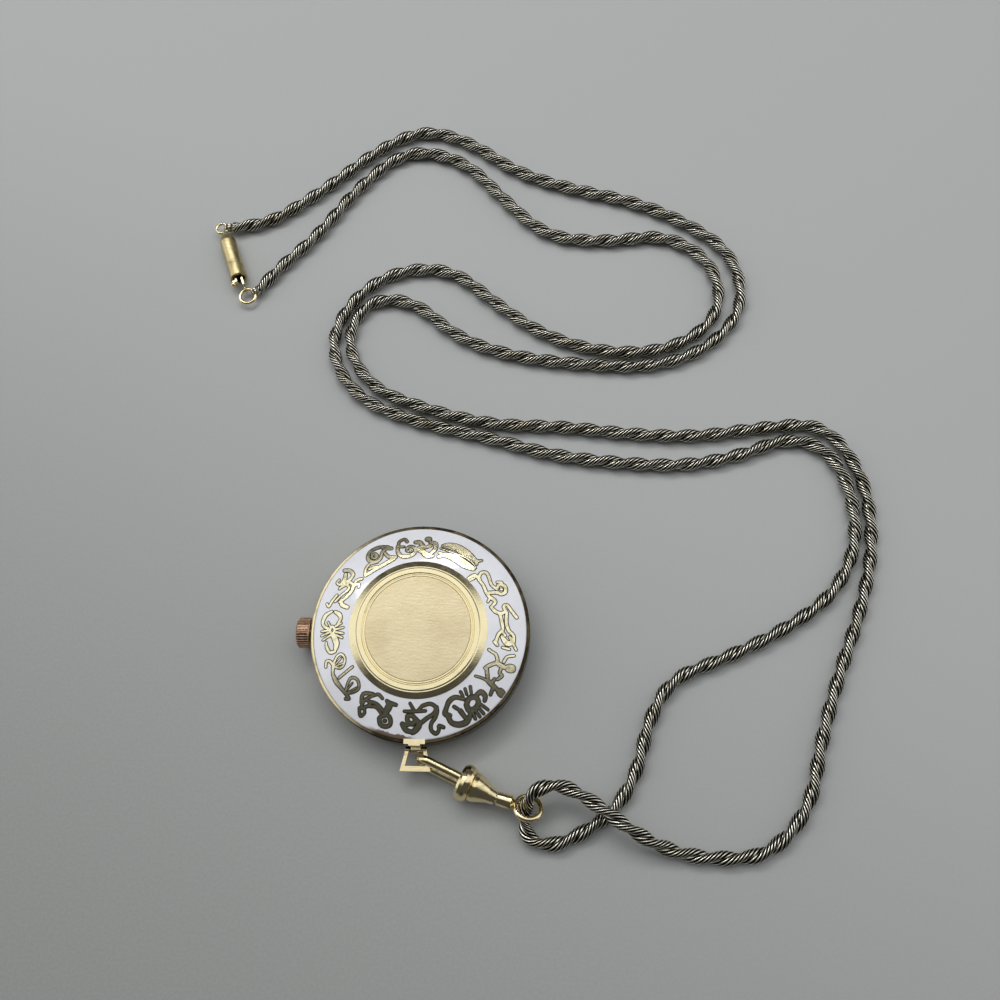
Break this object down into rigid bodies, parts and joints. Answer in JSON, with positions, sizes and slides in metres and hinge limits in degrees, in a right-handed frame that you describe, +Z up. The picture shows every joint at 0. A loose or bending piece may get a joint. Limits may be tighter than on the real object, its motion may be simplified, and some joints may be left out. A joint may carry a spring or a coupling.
{
  "type": "pendant watch",
  "caption": "Round hand-wound pendant watch lying dial down, with an enamelled gold back, a fluted crown, a bail, a swivel hook and a long rope chain with a barrel clasp.",
  "frame": {"origin": "on the watch's axis, on the plane of the bezel's rim, on which it lies", "axes": "+Z up out of the enamelled back, the crown along -X, the pendant along -Y"},
  "size_m": [0.1182, 0.1352, 0.0082],
  "materials": {
    "rope_gold": "twisted wire, oxidised between the strands",
    "clasp_gold": "polished, gold",
    "case_gold": "polished, gold, satin on the disc",
    "crown_gold": "fluted, rosy brown gold",
    "enamel": "white vitreous enamel, glossy",
    "glass": "flat polished crystal",
    "rubber": "black seal",
    "blued_steel": "blued",
    "marker_gold": "gilt",
    "movement_plate": "plated, fine grain",
    "steel": "fine grain",
    "train_brass": "gilt",
    "jewel": "polished red stone"
  },
  "bodies": {
    "chain": {"rope_chain_clasp_end": "rope_gold", "rope_chain_outer": "rope_gold", "rope_chain_eye_loop": "rope_gold", "rope_chain_inner": "rope_gold", "swivel_eye": "clasp_gold", "clasp_tongue": "clasp_gold", "clasp_tab": "clasp_gold", "ring_b": "clasp_gold"},
    "clasp_sleeve": {"clasp_barrel": "clasp_gold", "ring_a": "clasp_gold"},
    "swivel": {"hook": "clasp_gold", "swivel_barrel": "clasp_gold", "gate_pin": "clasp_gold", "gate_spring": "steel"},
    "gate_arm": {"gate": "clasp_gold"},
    "bail_loop": {"bail": "case_gold", "bail_pin": "case_gold"},
    "watch": {"case_middle": "case_gold", "bezel": "case_gold", "crystal": "glass", "case_back": "case_gold", "back_gasket": "rubber", "enamel_ring": "enamel", "back_ring": "case_gold", "back_disc": "case_gold", "case_tube": "case_gold", "dial": "enamel", "hour_markers": "marker_gold", "movement_ring": "movement_plate", "mainplate": "movement_plate", "barrel_bridge": "movement_plate", "train_bridge": "movement_plate", "balance_cock": "movement_plate", "pallet_bridge": "movement_plate", "jewels": "jewel", "movement_screws": "steel", "click": "steel", "pendant_lug": "case_gold", "mainspring": "steel", "hairspring": "blued_steel"},
    "crown_carrier": {"crown_gasket": "rubber"},
    "crown_stem": {"crown": "crown_gold", "winding_stem": "steel", "sliding_pinion": "steel"},
    "winding_pinion": {"winding_pinion": "steel"},
    "crown_wheel": {"crown_wheel": "steel"},
    "ratchet_wheel": {"ratchet_wheel": "steel"},
    "setting_lever": {"setting_lever": "steel"},
    "minute_works": {"minute_hand": "blued_steel", "cannon_pinion": "steel"},
    "hour_works": {"hour_hand": "blued_steel", "hour_wheel": "train_brass"},
    "minute_wheel": {"minute_wheel": "train_brass"},
    "barrel": {"mainspring_barrel": "train_brass"},
    "centre_wheel": {"centre_wheel": "train_brass"},
    "third_wheel": {"third_wheel": "train_brass"},
    "fourth_wheel": {"fourth_wheel": "train_brass"},
    "escape_wheel": {"escape_wheel": "steel"},
    "pallet_fork": {"pallet_fork": "steel"},
    "balance": {"balance_wheel": "train_brass"}
  },
  "joints": [
    {"name": "clasp_pull", "type": "slide", "parent": "chain", "child": "clasp_sleeve", "axis": [-0.3551, 0.9348, 0], "range_m": [0, 0.007]},
    {"name": "swivel_turn", "type": "hinge", "parent": "chain", "child": "swivel", "pos_m": [0.00766, -0.02283, 0.00295], "axis": [0.9114, -0.4115, 0], "continuous": true},
    {"name": "gate_open", "type": "hinge", "parent": "swivel", "child": "gate_arm", "pos_m": [0.00762, -0.02239, 0.0045], "axis": [-0.3993, -0.8843, 0.2419], "range_deg": [0, 16], "stiffness_Nm_per_rad": 0.0002, "springref_deg": -20.05},
    {"name": "hook_swing", "type": "hinge", "parent": "swivel", "child": "bail_loop", "pos_m": [0.00192, -0.02024, 0.00295], "axis": [0.3993, 0.8843, -0.2419], "range_deg": [-30, 30]},
    {"name": "bail_swing", "type": "hinge", "parent": "bail_loop", "child": "watch", "pos_m": [0, -0.01812, 0.00295], "axis": [1, 0, 0], "range_deg": [-55, 40]},
    {"name": "crown_pull", "type": "slide", "parent": "watch", "child": "crown_carrier", "axis": [-1, 0, 0], "range_m": [0, 0.0008]},
    {"name": "crown_turn", "type": "hinge", "parent": "crown_carrier", "child": "crown_stem", "pos_m": [-0.01775, 0, 0.0034], "axis": [-1, 0, 0], "continuous": true},
    {"name": "winding_pinion_turn", "type": "hinge", "parent": "watch", "child": "winding_pinion", "pos_m": [-0.00875, 0, 0.0034], "axis": [-1, 0, 0], "continuous": true},
    {"name": "crown_wheel_turn", "type": "hinge", "parent": "watch", "child": "crown_wheel", "pos_m": [-0.00758, 0.00231, 0], "axis": [0, 0, 1], "continuous": true},
    {"name": "ratchet_turn", "type": "hinge", "parent": "watch", "child": "ratchet_wheel", "pos_m": [-0.0026, 0.0046, 0], "axis": [0, 0, 1], "continuous": true},
    {"name": "setting_lever_turn", "type": "hinge", "parent": "watch", "child": "setting_lever", "pos_m": [-0.0093, 0.002, 0.0028], "axis": [0, 0, 1], "range_deg": [-1, 13]},
    {"name": "minute_turn", "type": "hinge", "parent": "watch", "child": "minute_works", "pos_m": [0, 0, 0.0018], "axis": [0, 0, -1], "continuous": true},
    {"name": "hour_turn", "type": "hinge", "parent": "watch", "child": "hour_works", "pos_m": [0, 0, 0.002], "axis": [0, 0, -1], "continuous": true},
    {"name": "minute_wheel_turn", "type": "hinge", "parent": "watch", "child": "minute_wheel", "pos_m": [0.00105, 0.00316, 0.0028], "axis": [0, 0, -1], "continuous": true},
    {"name": "barrel_turn", "type": "hinge", "parent": "watch", "child": "barrel", "pos_m": [-0.0026, 0.0046, 0.005], "axis": [0, 0, -1], "continuous": true},
    {"name": "centre_turn", "type": "hinge", "parent": "watch", "child": "centre_wheel", "pos_m": [0, 0, 0.005], "axis": [0, 0, -1], "continuous": true},
    {"name": "third_turn", "type": "hinge", "parent": "watch", "child": "third_wheel", "pos_m": [0.0039, -0.002, 0.005], "axis": [0, 0, -1], "continuous": true},
    {"name": "fourth_turn", "type": "hinge", "parent": "watch", "child": "fourth_wheel", "pos_m": [0.001, -0.0041, 0.005], "axis": [0, 0, -1], "continuous": true},
    {"name": "escape_turn", "type": "hinge", "parent": "watch", "child": "escape_wheel", "pos_m": [-0.0019, -0.0054, 0.005], "axis": [0, 0, -1], "continuous": true},
    {"name": "pallet_rock", "type": "hinge", "parent": "watch", "child": "pallet_fork", "pos_m": [-0.00449, -0.0057, 0.005], "axis": [0, 0, 1], "range_deg": [-5, 5]},
    {"name": "balance_swing", "type": "hinge", "parent": "watch", "child": "balance", "pos_m": [-0.0061, -0.0035, 0.0055], "axis": [0, 0, 1], "range_deg": [-270, 270], "stiffness_Nm_per_rad": 0.0000005}
  ],
  "couplings": [
    {"joint": "winding_pinion_turn", "follows": "crown_turn", "ratio": 1},
    {"joint": "crown_wheel_turn", "follows": "crown_turn", "ratio": 0.5},
    {"joint": "ratchet_turn", "follows": "crown_turn", "ratio": -0.29167},
    {"joint": "setting_lever_turn", "follows": "crown_pull", "rad_per_m": 261.8},
    {"joint": "hour_turn", "follows": "minute_turn", "ratio": 0.083333},
    {"joint": "minute_wheel_turn", "follows": "minute_turn", "ratio": -0.33333},
    {"joint": "barrel_turn", "follows": "fourth_turn", "ratio": -0.0027778},
    {"joint": "centre_turn", "follows": "fourth_turn", "ratio": 0.016667},
    {"joint": "third_turn", "follows": "fourth_turn", "ratio": -0.13333},
    {"joint": "escape_turn", "follows": "fourth_turn", "ratio": -10}
  ]
}
